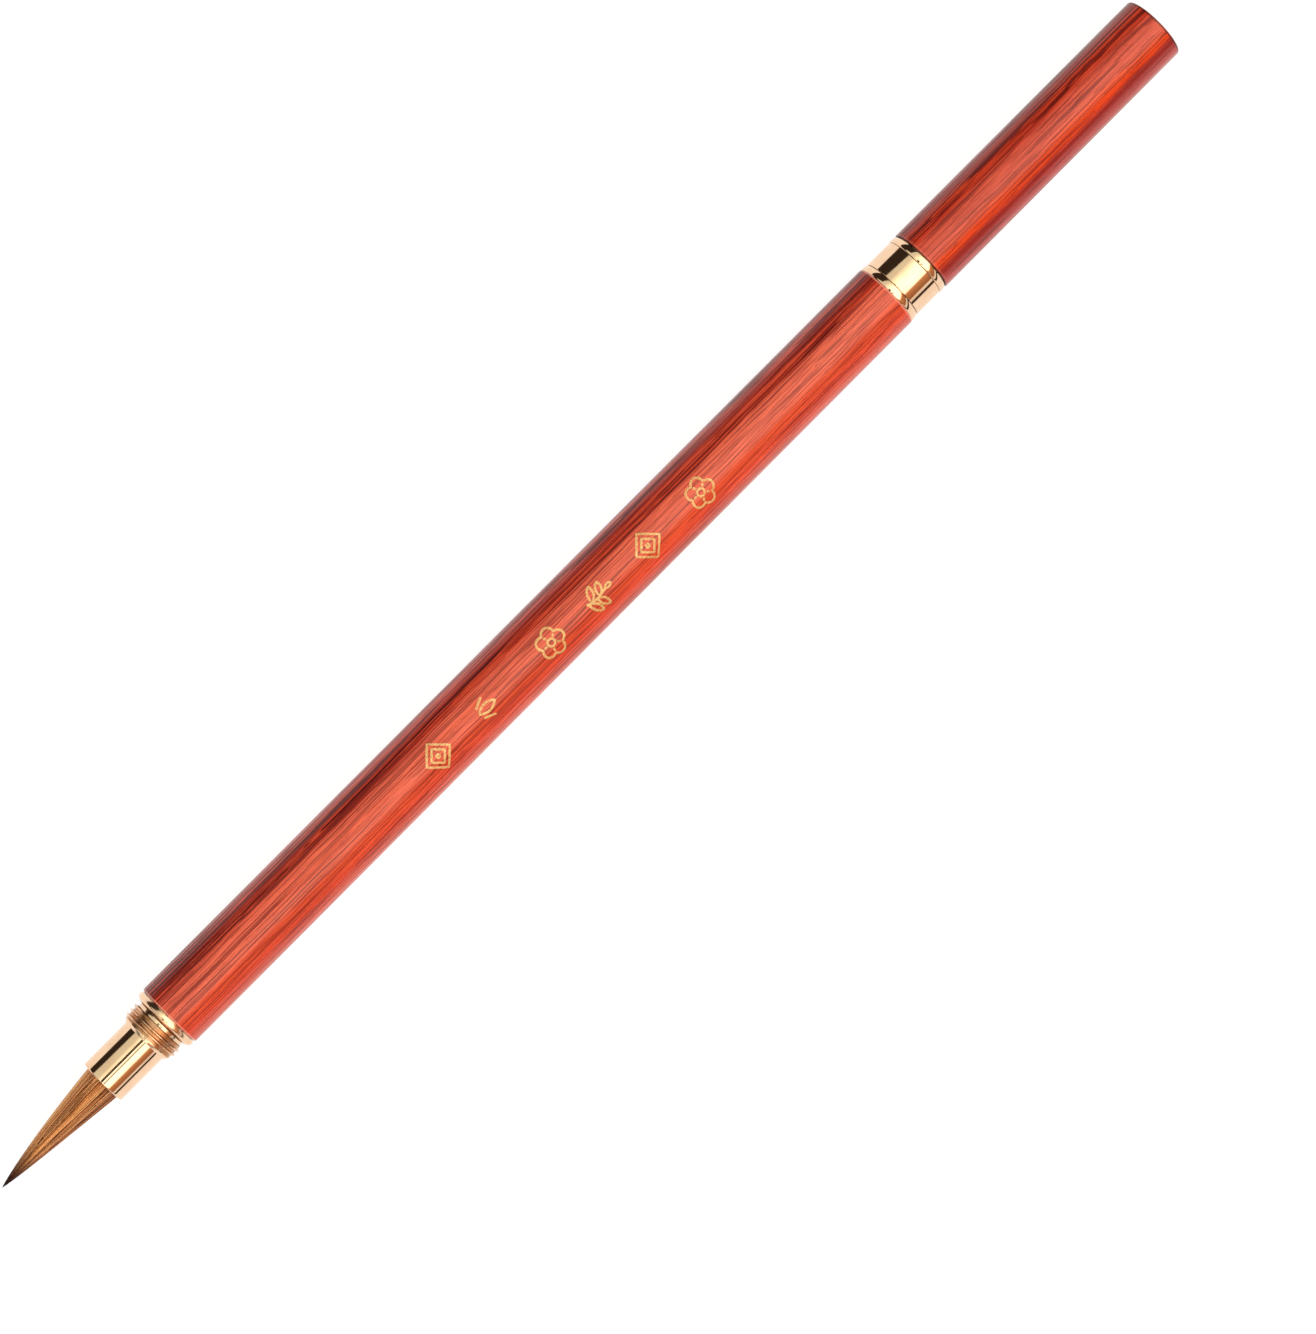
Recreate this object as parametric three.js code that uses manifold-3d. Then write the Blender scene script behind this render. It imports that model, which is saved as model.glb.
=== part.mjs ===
// A portable small-script calligraphy brush, lying on its side with its cap screwed on its rear end.
// Millimetres, +Z up. +X runs along the brush from the tuft to the cap's end. The origin is on the
// table under the middle of the brush's length.
import * as THREE from 'three';
import { mergeVertices } from 'three/addons/utils/BufferGeometryUtils.js';
import Module from 'manifold-3d';

const wasm = await Module();
wasm.setup();

// Lengths along the brush, in order from the tuft's tip.
const TUFT_LENGTH = 17.6;
const FERRULE_EXPOSED = 7.2;
const SPIGOT_LENGTH = 3.1;
const FLANGE_WIDTH = 1.1;
const BARREL_LENGTH = 125.35;
const REAR_RING_WIDTH = 1.0;
const COLLAR_LENGTH = 4.0;
const COLLAR_RING_WIDTH = 1.0;
const CAP_WOOD_LENGTH = 41.65;

// Outer radii.
const BARREL_RADIUS = 4.5;
const REAR_RING_RADIUS = 4.47;
const FLANGE_RADIUS = 4.44;
const COLLAR_RADIUS = 4.35;
const COLLAR_RING_RADIUS = 4.43;
const CAP_RADIUS = 4.41;
const FERRULE_RADIUS = 3.15;
const TUFT_RADIUS = 2.45;

// The screw thread that both spigots and the cap share. It is right-handed.
const THREAD_PITCH = 0.7;
const THREAD_TURNS = 2.5;
const THREAD_CREST = 3.93;
const SPIGOT_CORE = 3.6;
const NECK_RADIUS = 3.5;
const CREST_FLAT = 0.08;
const FLANK_SLOPE = Math.tan(Math.PI / 6);
const FRONT_THREAD_INSET = 0.35;
const REAR_THREAD_INSET = 0.6;
const NUT_BORE = 3.68;
const NUT_ROOT = 4.05;
const NUT_ROOT_FLAT = 0.14;

// Hidden fits.
const GLUE_GAP = 0.05;
const GLUE_TENON = 8.0;
const FRONT_TENON_RADIUS = 3.7;
const REAR_TENON_RADIUS = 3.5;
const SOCKET_DEPTH = 8.7;
const FERRULE_BORE = 2.6;
const ROOT_LENGTH = 10;
const BINDING_WIDTH = 2;
const PLUG_LENGTH = 3;
const COLLAR_TENON_RADIUS = 3.75;
const COLLAR_TENON_LENGTH = 4.6;
const COLLAR_BORE = 3.35;
const CAP_BORE = 3.5;
const CAP_BORE_DEPTH = 33.9;
const LINER_RADIUS = 3.42;
const LINER_WALL = 0.2;
const LINER_INSET = 11.4;

// Stations: distances from the tip of the tuft.
const MOUTH = TUFT_LENGTH;
const NOSE = MOUTH + FERRULE_EXPOSED;
const FLANGE = NOSE + SPIGOT_LENGTH;
const BARREL_FRONT = FLANGE + FLANGE_WIDTH;
const BARREL_REAR = BARREL_FRONT + BARREL_LENGTH;
const CAP_MOUTH = BARREL_REAR + REAR_RING_WIDTH;
const REAR_THREAD_START = CAP_MOUTH + SPIGOT_LENGTH - REAR_THREAD_INSET - THREAD_TURNS * THREAD_PITCH;
const COLLAR_RING = CAP_MOUTH + COLLAR_LENGTH;
const CAP_FRONT = COLLAR_RING + COLLAR_RING_WIDTH;
const CAP_END = CAP_FRONT + CAP_WOOD_LENGTH;
const MIDDLE = CAP_END / 2;

// Round pieces are turned with this many sides. One flat faces the table, and every flat, not every
// corner, lies at the true radius.
const SIDES = 24;
const HALF_SIDE = Math.PI / SIDES;
const CORNER = 1 / Math.cos(HALF_SIDE);

const FINISHES = {
  wood: { color: 0xb2452a, roughness: 0.35, metalness: 0 },
  brass: { color: 0xe3b768, roughness: 0.18, metalness: 1 },
  coverHair: { color: 0x9a6526, roughness: 0.6, metalness: 0 },
  coreHair: { color: 0x3a2010, roughness: 0.6, metalness: 0 },
  twine: { color: 0xd9d0bd, roughness: 0.9, metalness: 0 },
  resin: { color: 0x6b4a22, roughness: 0.3, metalness: 0 },
  plastic: { color: 0xe8e6df, roughness: 0.5, metalness: 0 },
};

const brush = new THREE.Group();

function addPiece(name, geometry, finish) {
  const mesh = new THREE.Mesh(geometry, new THREE.MeshStandardMaterial(FINISHES[finish]));
  mesh.name = name;
  brush.add(mesh);
}

// A turned solid from an outline of [radius, station] points, revolved round the lathe's Y axis.
function turned(outline) {
  const points = outline.map(([radius, station]) => new THREE.Vector2(radius * CORNER, station - MIDDLE));
  return new THREE.LatheGeometry(points, SIDES, HALF_SIDE);
}

// A turned ring: the same, for an outline that closes on itself away from the axis.
function turnedRing(outline) {
  return turned([...outline, outline[0]]);
}

// The solid swept by a thread's V-shaped ridge along a right-handed helix, closed at both ends. The
// helix passes the start station at the first side; the ridge itself can begin some sides later.
function threadSolid({ crest, base, crestFlat, start, turns, firstSide = 0 }) {
  const halfCrest = crestFlat / 2;
  const halfBase = halfCrest + (crest - base) * FLANK_SLOPE;
  const section = [[base, -halfBase], [crest, -halfCrest], [crest, halfCrest], [base, halfBase]];
  const steps = Math.round(turns * SIDES);
  const corners = [];
  const faces = [];
  for (let step = 0; step <= steps; step += 1) {
    const side = firstSide + step;
    const angle = HALF_SIDE + side * 2 * HALF_SIDE;
    const station = start + (side / SIDES) * THREAD_PITCH - MIDDLE;
    for (const [radius, offset] of section) {
      const reach = radius * CORNER;
      corners.push(reach * Math.sin(angle), station + offset, reach * Math.cos(angle));
    }
  }
  for (let step = 0; step < steps; step += 1) {
    for (let side = 0; side < 4; side += 1) {
      const near = step * 4 + side;
      const next = step * 4 + ((side + 1) % 4);
      faces.push(near, near + 4, next, next, near + 4, next + 4);
    }
  }
  const last = steps * 4;
  faces.push(0, 1, 2, 0, 2, 3, last, last + 2, last + 1, last, last + 3, last + 2);
  const geometry = new THREE.BufferGeometry();
  geometry.setAttribute('position', new THREE.Float32BufferAttribute(corners, 3));
  geometry.setIndex(faces);
  return geometry;
}

function toManifold(geometry) {
  const bare = geometry.clone();
  bare.deleteAttribute('normal');
  bare.deleteAttribute('uv');
  const merged = mergeVertices(bare, 1e-4);
  const index = merged.index.array;
  const triangles = [];
  for (let i = 0; i < index.length; i += 3) {
    const [a, b, c] = [index[i], index[i + 1], index[i + 2]];
    if (a !== b && b !== c && c !== a) {
      triangles.push(a, b, c);
    }
  }
  const vertProperties = new Float32Array(merged.attributes.position.array);
  const triVerts = new Uint32Array(triangles);
  return new wasm.Manifold(new wasm.Mesh({ numProp: 3, vertProperties, triVerts }));
}

function toGeometry(manifold) {
  const mesh = manifold.getMesh();
  const geometry = new THREE.BufferGeometry();
  geometry.setAttribute('position', new THREE.Float32BufferAttribute(mesh.vertProperties, 3));
  geometry.setIndex(new THREE.BufferAttribute(mesh.triVerts, 1));
  geometry.computeVertexNormals();
  return geometry;
}

// A spigot's male thread.
function maleThread(start, firstSide = 0) {
  return threadSolid({
    crest: THREAD_CREST,
    base: SPIGOT_CORE - 0.1,
    crestFlat: CREST_FLAT,
    start,
    turns: THREAD_TURNS,
    firstSide,
  });
}

// The wooden handle, blind bored at both ends for the fittings' glue tenons.
function barrel() {
  const edge = 0.3;
  const frontBore = FRONT_TENON_RADIUS + GLUE_GAP;
  const rearBore = REAR_TENON_RADIUS + GLUE_GAP;
  const boreDepth = GLUE_TENON + 0.2;
  return turned([
    [0, BARREL_FRONT + boreDepth],
    [frontBore, BARREL_FRONT + boreDepth],
    [frontBore, BARREL_FRONT],
    [BARREL_RADIUS - edge, BARREL_FRONT],
    [BARREL_RADIUS, BARREL_FRONT + edge],
    [BARREL_RADIUS, BARREL_REAR - edge],
    [BARREL_RADIUS - edge, BARREL_REAR],
    [rearBore, BARREL_REAR],
    [rearBore, BARREL_REAR - boreDepth],
    [0, BARREL_REAR - boreDepth],
  ]);
}

// The front fitting: ferrule socket, threaded spigot for the stored cap, flange and glue tenon.
function frontFitting() {
  const socket = FERRULE_RADIUS + GLUE_GAP;
  const body = turned([
    [0, NOSE + SOCKET_DEPTH],
    [socket, NOSE + SOCKET_DEPTH],
    [socket, NOSE],
    [socket + 0.05, NOSE],
    [SPIGOT_CORE, NOSE + 0.4],
    [SPIGOT_CORE, FLANGE - 0.65],
    [NECK_RADIUS, FLANGE - 0.55],
    [NECK_RADIUS, FLANGE],
    [FLANGE_RADIUS - 0.6, FLANGE],
    [FLANGE_RADIUS - 0.15, FLANGE + 0.35],
    [FLANGE_RADIUS, FLANGE + 0.6],
    [FLANGE_RADIUS, BARREL_FRONT],
    [FRONT_TENON_RADIUS, BARREL_FRONT],
    [FRONT_TENON_RADIUS, BARREL_FRONT + GLUE_TENON],
    [0, BARREL_FRONT + GLUE_TENON],
  ]);
  const thread = maleThread(NOSE + FRONT_THREAD_INSET, SIDES / 4);
  return toGeometry(toManifold(body).add(toManifold(thread)));
}

// The rear fitting: glue tenon, bevelled ring and the threaded spigot that the posted cap screws on.
function rearFitting() {
  const bevel = 0.2;
  const noseEnd = CAP_MOUTH + SPIGOT_LENGTH;
  const body = turned([
    [0, BARREL_REAR - GLUE_TENON],
    [REAR_TENON_RADIUS, BARREL_REAR - GLUE_TENON],
    [REAR_TENON_RADIUS, BARREL_REAR],
    [REAR_RING_RADIUS - bevel, BARREL_REAR],
    [REAR_RING_RADIUS, BARREL_REAR + bevel],
    [REAR_RING_RADIUS, CAP_MOUTH - bevel],
    [REAR_RING_RADIUS - bevel, CAP_MOUTH],
    [NECK_RADIUS, CAP_MOUTH],
    [NECK_RADIUS, CAP_MOUTH + 0.3],
    [SPIGOT_CORE, CAP_MOUTH + 0.4],
    [SPIGOT_CORE, noseEnd - 0.4],
    [SPIGOT_CORE - 0.3, noseEnd],
    [0, noseEnd],
  ]);
  return toGeometry(toManifold(body).add(toManifold(maleThread(REAR_THREAD_START))));
}

// The brass tube that holds the hair. Its mouth is rounded over.
function ferrule() {
  const lip = 0.15;
  return turnedRing([
    [FERRULE_BORE, MOUTH + lip],
    [FERRULE_BORE + lip, MOUTH],
    [FERRULE_RADIUS - lip, MOUTH],
    [FERRULE_RADIUS, MOUTH + lip],
    [FERRULE_RADIUS, NOSE + SOCKET_DEPTH - 0.2],
    [FERRULE_BORE, NOSE + SOCKET_DEPTH - 0.2],
  ]);
}

// The tuft's radius at a distance from its tip.
function tuftRadius(station) {
  return TUFT_RADIUS * (station / TUFT_LENGTH) ** 0.77;
}

// The tuft swings about the middle of the ferrule's mouth, so its base is part of a ball there.
const TUFT_SHOULDER = 4.5;
const CORE_BASE_RADIUS = 1.3;
const HAIR_GAP = 0.06;

function ballStation(radius) {
  return MOUTH + Math.sqrt(TUFT_RADIUS ** 2 - radius ** 2);
}

// The inner hairs: the tuft's bare point, then a slender cone inside the outer hairs.
function coreHair() {
  const shoulder = tuftRadius(TUFT_SHOULDER);
  return turned([
    [0, 0],
    [tuftRadius(0.6), 0.6],
    [tuftRadius(2), 2],
    [shoulder, TUFT_SHOULDER - HAIR_GAP],
    [shoulder - 0.15, TUFT_SHOULDER - HAIR_GAP],
    [CORE_BASE_RADIUS, ballStation(CORE_BASE_RADIUS)],
    [CORE_BASE_RADIUS / 2, ballStation(CORE_BASE_RADIUS / 2)],
    [0, ballStation(0)],
  ]);
}

// The outer hairs: a sleeve round the inner ones, from the shoulder to the ball-shaped base.
function coverHair() {
  const outline = [[tuftRadius(TUFT_SHOULDER) - 0.15 + HAIR_GAP, TUFT_SHOULDER]];
  for (const station of [TUFT_SHOULDER, 7.5, 11, 14.5, MOUTH]) {
    outline.push([tuftRadius(station), station]);
  }
  for (const radius of [2.25, 1.85, CORE_BASE_RADIUS + HAIR_GAP]) {
    outline.push([radius, ballStation(radius)]);
  }
  return turnedRing(outline);
}

// Inside the ferrule: the bound root of the hair, the twine round it and the resin behind it.
const ROOT_RADIUS = 2.5;
const BINDING_DEPTH = 0.3;
const ROOT_FRONT = MOUTH + TUFT_RADIUS + 0.15;
const ROOT_REAR = ROOT_FRONT + ROOT_LENGTH;
const BINDING_REAR = ROOT_REAR - 1;
const BINDING_FRONT = BINDING_REAR - BINDING_WIDTH;

function hairRoot() {
  const waist = ROOT_RADIUS - BINDING_DEPTH;
  return turned([
    [0, ROOT_FRONT],
    [ROOT_RADIUS, ROOT_FRONT],
    [ROOT_RADIUS, BINDING_FRONT],
    [waist, BINDING_FRONT],
    [waist, BINDING_REAR],
    [ROOT_RADIUS, BINDING_REAR],
    [ROOT_RADIUS, ROOT_REAR],
    [0, ROOT_REAR],
  ]);
}

function rootBinding() {
  const inner = ROOT_RADIUS - BINDING_DEPTH + 0.02;
  const middle = (BINDING_FRONT + BINDING_REAR) / 2;
  return turnedRing([
    [inner, BINDING_FRONT + 0.05],
    [ROOT_RADIUS - 0.05, BINDING_FRONT + 0.05],
    [ROOT_RADIUS + 0.04, middle],
    [ROOT_RADIUS - 0.05, BINDING_REAR - 0.05],
    [inner, BINDING_REAR - 0.05],
  ]);
}

function rootPlug() {
  const front = ROOT_REAR + 0.02;
  return turned([
    [0, front],
    [FERRULE_BORE - GLUE_GAP, front],
    [FERRULE_BORE - GLUE_GAP, front + PLUG_LENGTH],
    [0, front + PLUG_LENGTH],
  ]);
}

// The cap's brass collar: female thread, thread relief, clearance bore and glue tenon.
function capCollar() {
  const bevel = 0.12;
  const relief = CAP_MOUTH + 2.7;
  const shoulder = CAP_MOUTH + 3.6;
  const tenonEnd = CAP_FRONT + COLLAR_TENON_LENGTH;
  const body = turnedRing([
    [NUT_BORE + 0.25, CAP_MOUTH],
    [COLLAR_RADIUS, CAP_MOUTH],
    [COLLAR_RADIUS, COLLAR_RING],
    [COLLAR_RING_RADIUS, COLLAR_RING + bevel],
    [COLLAR_RING_RADIUS, CAP_FRONT - bevel],
    [COLLAR_RING_RADIUS - bevel, CAP_FRONT],
    [COLLAR_TENON_RADIUS, CAP_FRONT],
    [COLLAR_TENON_RADIUS, tenonEnd],
    [COLLAR_BORE, tenonEnd],
    [COLLAR_BORE, shoulder],
    [NUT_ROOT + 0.02, shoulder],
    [NUT_ROOT + 0.02, relief],
    [NUT_BORE, relief],
    [NUT_BORE, CAP_MOUTH + 0.25],
  ]);
  const groove = threadSolid({
    crest: NUT_ROOT,
    base: NUT_BORE - 0.1,
    crestFlat: NUT_ROOT_FLAT,
    start: REAR_THREAD_START - 2 * THREAD_PITCH,
    turns: THREAD_TURNS + 3,
  });
  return toGeometry(toManifold(body).subtract(toManifold(groove)));
}

// The wooden cap, counterbored for the collar's tenon and bored to take the whole tuft.
function capTube() {
  const edge = 0.2;
  const endEdge = 0.35;
  const counterbore = COLLAR_TENON_RADIUS + GLUE_GAP;
  const counterEnd = CAP_FRONT + COLLAR_TENON_LENGTH + 0.2;
  const bottom = CAP_MOUTH + CAP_BORE_DEPTH;
  return turned([
    [0, bottom],
    [CAP_BORE, bottom],
    [CAP_BORE, counterEnd],
    [counterbore, counterEnd],
    [counterbore, CAP_FRONT],
    [CAP_RADIUS - edge, CAP_FRONT],
    [CAP_RADIUS, CAP_FRONT + edge],
    [CAP_RADIUS, CAP_END - endEdge],
    [CAP_RADIUS - endEdge, CAP_END],
    [0, CAP_END],
  ]);
}

// The thin plastic cup inside the cap that keeps wet hair off the wood.
function capLiner() {
  const front = CAP_MOUTH + LINER_INSET;
  const bottom = CAP_MOUTH + CAP_BORE_DEPTH - 0.3;
  const inner = LINER_RADIUS - LINER_WALL;
  return turned([
    [0, bottom - 0.4],
    [inner, bottom - 0.4],
    [inner, front],
    [LINER_RADIUS, front],
    [LINER_RADIUS, bottom],
    [0, bottom],
  ]);
}

addPiece('barrel', barrel(), 'wood');
addPiece('front_fitting', frontFitting(), 'brass');
addPiece('ferrule', ferrule(), 'brass');
addPiece('hair_root', hairRoot(), 'coverHair');
addPiece('root_binding', rootBinding(), 'twine');
addPiece('root_plug', rootPlug(), 'resin');
addPiece('core_hair', coreHair(), 'coreHair');
addPiece('cover_hair', coverHair(), 'coverHair');
addPiece('rear_fitting', rearFitting(), 'brass');
addPiece('cap_collar', capCollar(), 'brass');
addPiece('cap_tube', capTube(), 'wood');
addPiece('cap_liner', capLiner(), 'plastic');

// Lay the lathe's Y axis along +X, with the barrel resting on the table.
brush.rotation.z = -Math.PI / 2;
brush.position.z = BARREL_RADIUS;
const object = new THREE.Group();
object.add(brush);

export default object;
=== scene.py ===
"""A portable small-script calligraphy brush: its looks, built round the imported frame."""

import math
import random

import bmesh
import bpy
from mathutils import Matrix, Vector
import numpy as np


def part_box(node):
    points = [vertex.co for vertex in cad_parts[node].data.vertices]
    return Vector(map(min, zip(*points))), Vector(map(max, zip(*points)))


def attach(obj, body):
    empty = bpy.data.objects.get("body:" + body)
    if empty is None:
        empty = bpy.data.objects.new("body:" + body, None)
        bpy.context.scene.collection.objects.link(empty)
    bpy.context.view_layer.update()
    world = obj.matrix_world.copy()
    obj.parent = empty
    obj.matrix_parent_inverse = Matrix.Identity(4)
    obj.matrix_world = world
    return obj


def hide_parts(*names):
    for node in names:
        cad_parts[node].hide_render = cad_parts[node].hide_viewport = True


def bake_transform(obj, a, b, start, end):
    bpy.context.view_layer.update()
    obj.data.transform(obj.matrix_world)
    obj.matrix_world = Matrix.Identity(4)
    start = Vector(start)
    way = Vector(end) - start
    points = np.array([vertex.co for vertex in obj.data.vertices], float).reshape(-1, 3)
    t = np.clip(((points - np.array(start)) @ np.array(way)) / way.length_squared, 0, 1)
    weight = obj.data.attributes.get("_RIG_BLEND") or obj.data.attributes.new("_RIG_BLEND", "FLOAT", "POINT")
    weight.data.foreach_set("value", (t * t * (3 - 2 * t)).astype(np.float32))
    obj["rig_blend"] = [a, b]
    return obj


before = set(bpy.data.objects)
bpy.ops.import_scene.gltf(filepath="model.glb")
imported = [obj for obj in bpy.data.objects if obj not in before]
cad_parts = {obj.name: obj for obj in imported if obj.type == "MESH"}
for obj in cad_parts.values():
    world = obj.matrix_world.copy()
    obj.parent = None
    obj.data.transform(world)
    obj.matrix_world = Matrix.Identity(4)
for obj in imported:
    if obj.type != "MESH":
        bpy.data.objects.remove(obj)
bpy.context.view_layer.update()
MM = 0.001

# ---------------------------------------------------------------- places, from the frame


def front(node):
    """The x of a node's end towards the tuft's tip."""
    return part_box(node)[0].x


def rear(node):
    """The x of a node's end towards the cap."""
    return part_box(node)[1].x


def radius(node):
    """Half of a node's width across the brush."""
    low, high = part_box(node)
    return (high.y - low.y) / 2


TIP = front("core_hair")
MOUTH = front("ferrule")
NOSE = front("front_fitting")
BARREL_FRONT = front("barrel")
BARREL_REAR = rear("barrel")
CAP_MOUTH = front("cap_collar")
CAP_FRONT = front("cap_tube")
CAP_END = rear("cap_tube")
AXIS_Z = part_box("barrel")[0].z + radius("barrel")

BARREL_R = radius("barrel")
RING_R = radius("rear_fitting")
FLANGE_R = radius("front_fitting")
FERRULE_R = radius("ferrule")
CAP_R = radius("cap_tube")
COLLAR_RING_R = radius("cap_collar")
COLLAR_R = COLLAR_RING_R - 0.08 * MM
TUFT_R = radius("cover_hair")
TUFT_LENGTH = MOUTH - TIP

# The screw thread of both fittings and the cap, as the frame has it. A helix's start is where its
# ridge would be at the +Y side of the brush.
PITCH = 0.7 * MM
SPIGOT = 3.1 * MM
NECK_R = 3.5 * MM
THREAD_CORE = 3.6 * MM
THREAD_HEIGHT = 0.33 * MM
FRONT_HELIX = NOSE + 0.35 * MM - 0.27 * PITCH
REAR_HELIX = CAP_MOUTH + 0.75 * MM - 0.27 * PITCH
NUT_BORE = 3.68 * MM
NUT_DEPTH = 0.37 * MM

# The first and last turn of each ridge, counted from its helix's start. The cap's groove runs on
# past both of its ends.
FRONT_RIDGE = (0.52, 3.18)
REAR_RIDGE = (0.27, 2.77)
NUT_RIDGE = (0, 7)

# Hidden fits, as the frame has them.
GLUE_GAP = 0.05 * MM
GLUE_TENON = 8 * MM
TENON_HOLE = 8.2 * MM
FRONT_TENON_R = 3.7 * MM
REAR_TENON_R = 3.5 * MM
SOCKET_DEPTH = 8.7 * MM
FERRULE_BORE = 2.6 * MM
COLLAR_TENON_R = 3.75 * MM
COLLAR_TENON = 4.6 * MM
COLLAR_RING_WIDTH = 1.0 * MM
CAP_BORE = 3.5 * MM
CAP_BORE_DEPTH = 33.9 * MM
LINER_WALL = 0.2 * MM

# How finely round pieces are turned, and the rows in one pitch of a thread.
SIDES = 192
RIDGE_STEPS = 16

# Half of the dark gap where two pieces meet, and the gap that keeps touching faces apart.
SEAM = 0.045 * MM
CONTACT_GAP = 0.01 * MM

# A vertex's worn value in a groove, which the gilt paints dark as painted shade.
SHADED_GROOVE = 2.0


# ---------------------------------------------------------------- mesh tools


def finish_mesh(name, bm, material, body, replaced=(), sharp=32):
    """Turns a bmesh into a smooth-shaded piece that rides on a body of the frame.

    Edges that turn by more than sharp, in degrees, stay crisp.
    """
    bmesh.ops.remove_doubles(bm, verts=bm.verts, dist=1e-7)
    bmesh.ops.dissolve_degenerate(bm, edges=bm.edges, dist=1e-8)
    bmesh.ops.recalc_face_normals(bm, faces=bm.faces)
    mesh = bpy.data.meshes.new(name)
    bm.to_mesh(mesh)
    bm.free()
    mesh.shade_smooth()
    mesh.set_sharp_from_angle(angle=math.radians(sharp))
    mesh.materials.append(material)
    piece = bpy.data.objects.new(name, mesh)
    bpy.context.scene.collection.objects.link(piece)
    if body:
        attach(piece, body)
    if replaced:
        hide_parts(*replaced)
    return piece


def softened(outline, steps=6):
    """An outline of (x, r) or (x, r, ease) points, each eased corner replaced by a small curve."""
    points = []
    for i, corner in enumerate(outline):
        here = Vector(corner[:2])
        if len(corner) == 2:
            points.append(tuple(here))
            continue
        ease = corner[2]
        before = Vector(outline[i - 1][:2])
        after = Vector(outline[(i + 1) % len(outline)][:2])
        start = here + (before - here).normalized() * ease
        end = here + (after - here).normalized() * ease
        for step in range(steps + 1):
            t = step / steps
            points.append(tuple(start * (1 - t) ** 2 + here * 2 * t * (1 - t) + end * t * t))
    return points


def on_ring(x, r, angle):
    """A point round the brush's axis; the angle turns from +Y towards +Z."""
    return Vector((x, r * math.cos(angle), AXIS_Z + r * math.sin(angle)))


def add_ring(bm, x, r):
    """A ring of vertices round the axis, or the single one on it."""
    if r < 1e-9:
        return [bm.verts.new(on_ring(x, 0, 0))]
    return [bm.verts.new(on_ring(x, r, 2 * math.pi * j / SIDES)) for j in range(SIDES)]


def join_rings(bm, one, other):
    """Faces between two rings, either of which may be a single vertex."""
    for j in range(SIDES):
        k = (j + 1) % SIDES
        corners = [one[j % len(one)], one[k % len(one)],
                   other[k % len(other)], other[j % len(other)]]
        unique = list(dict.fromkeys(corners))
        if len(unique) > 2:
            bm.faces.new(unique)


def add_turned(bm, outline, closed=False):
    """Revolves an outline round the brush's axis."""
    rings = [add_ring(bm, x, r) for x, r in outline]
    for one, other in zip(rings, rings[1:]):
        join_rings(bm, one, other)
    if closed:
        join_rings(bm, rings[-1], rings[0])


def domed(x0, x1, r_front, crown, r_crown, r_rear, steps=14):
    """A ring's outline that swells from its front edge to a crown and falls to its rear edge."""
    points = []
    for i in range(steps + 1):
        share = i / steps
        if share < crown:
            r = r_crown - (r_crown - r_front) * ((crown - share) / crown) ** 2
        else:
            r = r_crown - (r_crown - r_rear) * ((share - crown) / (1 - crown)) ** 2
        points.append((x0 + (x1 - x0) * share, r))
    return points


def shade_grooves(bm, places):
    """Marks the rings at the given x places as grooves, which the gilt paints dark as painted shade."""
    worn = bm.verts.layers.float["worn"]
    for vert in bm.verts:
        if any(abs(vert.co.x - place) < 1e-6 for place in places):
            vert[worn] = SHADED_GROOVE


def ridge_height(phase, crest, base):
    """A thread's height across one pitch, 0 to 1, with an eased crest and root."""
    away = abs(phase - 0.5)
    slope = min(max((base / 2 - away) / (base / 2 - crest / 2), 0), 1)
    return slope * slope * (3 - 2 * slope) * 0.35 + slope * 0.65


def add_thread(bm, ends, core, height, helix, ridge, crest=0.12, base=0.66):
    """A screw thread's skin on a cylinder between two ends, its rows following the helix.

    The ridge is there only from its first to its last turn, counted from the helix's start.
    """
    worn = bm.verts.layers.float["worn"]
    x0, x1 = ends
    first = math.floor((x0 - helix) / PITCH) - 2
    last = math.ceil((x1 - helix) / PITCH) + 1
    rows = []
    for i in range((last - first) * RIDGE_STEPS + 1):
        phase = (i % RIDGE_STEPS) / RIDGE_STEPS
        row = []
        for j in range(SIDES):
            turn = first + i / RIDGE_STEPS + j / SIDES
            x = min(max(helix + (turn - 0.5) * PITCH, x0), x1)
            middle = turn - phase
            fade = min(max((middle - ridge[0]) * 6, 0), 1) * min(max((ridge[1] - middle) * 6, 0), 1)
            rise = ridge_height(phase, crest, base) * fade if x0 < x < x1 else 0
            vert = bm.verts.new(on_ring(x, core + height * rise, 2 * math.pi * j / SIDES))
            # The worn value is higher in the thread's roots: rougher there, and browner as painted shade.
            vert[worn] = 0.85 - 0.5 * rise
            row.append(vert)
        rows.append(row)
    for i in range(len(rows) - 1):
        for j in range(SIDES - 1):
            bm.faces.new((rows[i][j], rows[i][j + 1], rows[i + 1][j + 1], rows[i + 1][j]))
        if i + 1 + RIDGE_STEPS < len(rows):
            far, near = rows[i + RIDGE_STEPS], rows[i]
            farther = rows[i + 1 + RIDGE_STEPS]
            bm.faces.new((near[-1], far[0], farther[0], rows[i + 1][-1]))


# ---------------------------------------------------------------- material tools


def tone(red, green, blue):
    """An 8-bit display colour as linear light."""
    def linear(v):
        v /= 255
        return v / 12.92 if v <= 0.04045 else ((v + 0.055) / 1.055) ** 2.4
    return (linear(red), linear(green), linear(blue), 1.0)


def add(tree, kind, values=None, **settings):
    """A shader node. values gives each input a number, a colour or the output that feeds it."""
    made = tree.nodes.new(kind)
    for key, value in settings.items():
        setattr(made, key, value)
    for key, value in (values or {}).items():
        if isinstance(value, bpy.types.NodeSocket):
            tree.links.new(value, made.inputs[key])
        else:
            made.inputs[key].default_value = value
    return made


def new_material(name):
    """A material, its node tree and its Principled shader."""
    material = bpy.data.materials.new(name)
    material.use_nodes = True
    return material, material.node_tree, material.node_tree.nodes["Principled BSDF"]


def link(tree, output, node, key):
    tree.links.new(output, node.inputs[key])


def object_place(tree):
    """Where a point is on its piece, in metres."""
    return add(tree, "ShaderNodeTexCoord").outputs["Object"]


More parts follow.
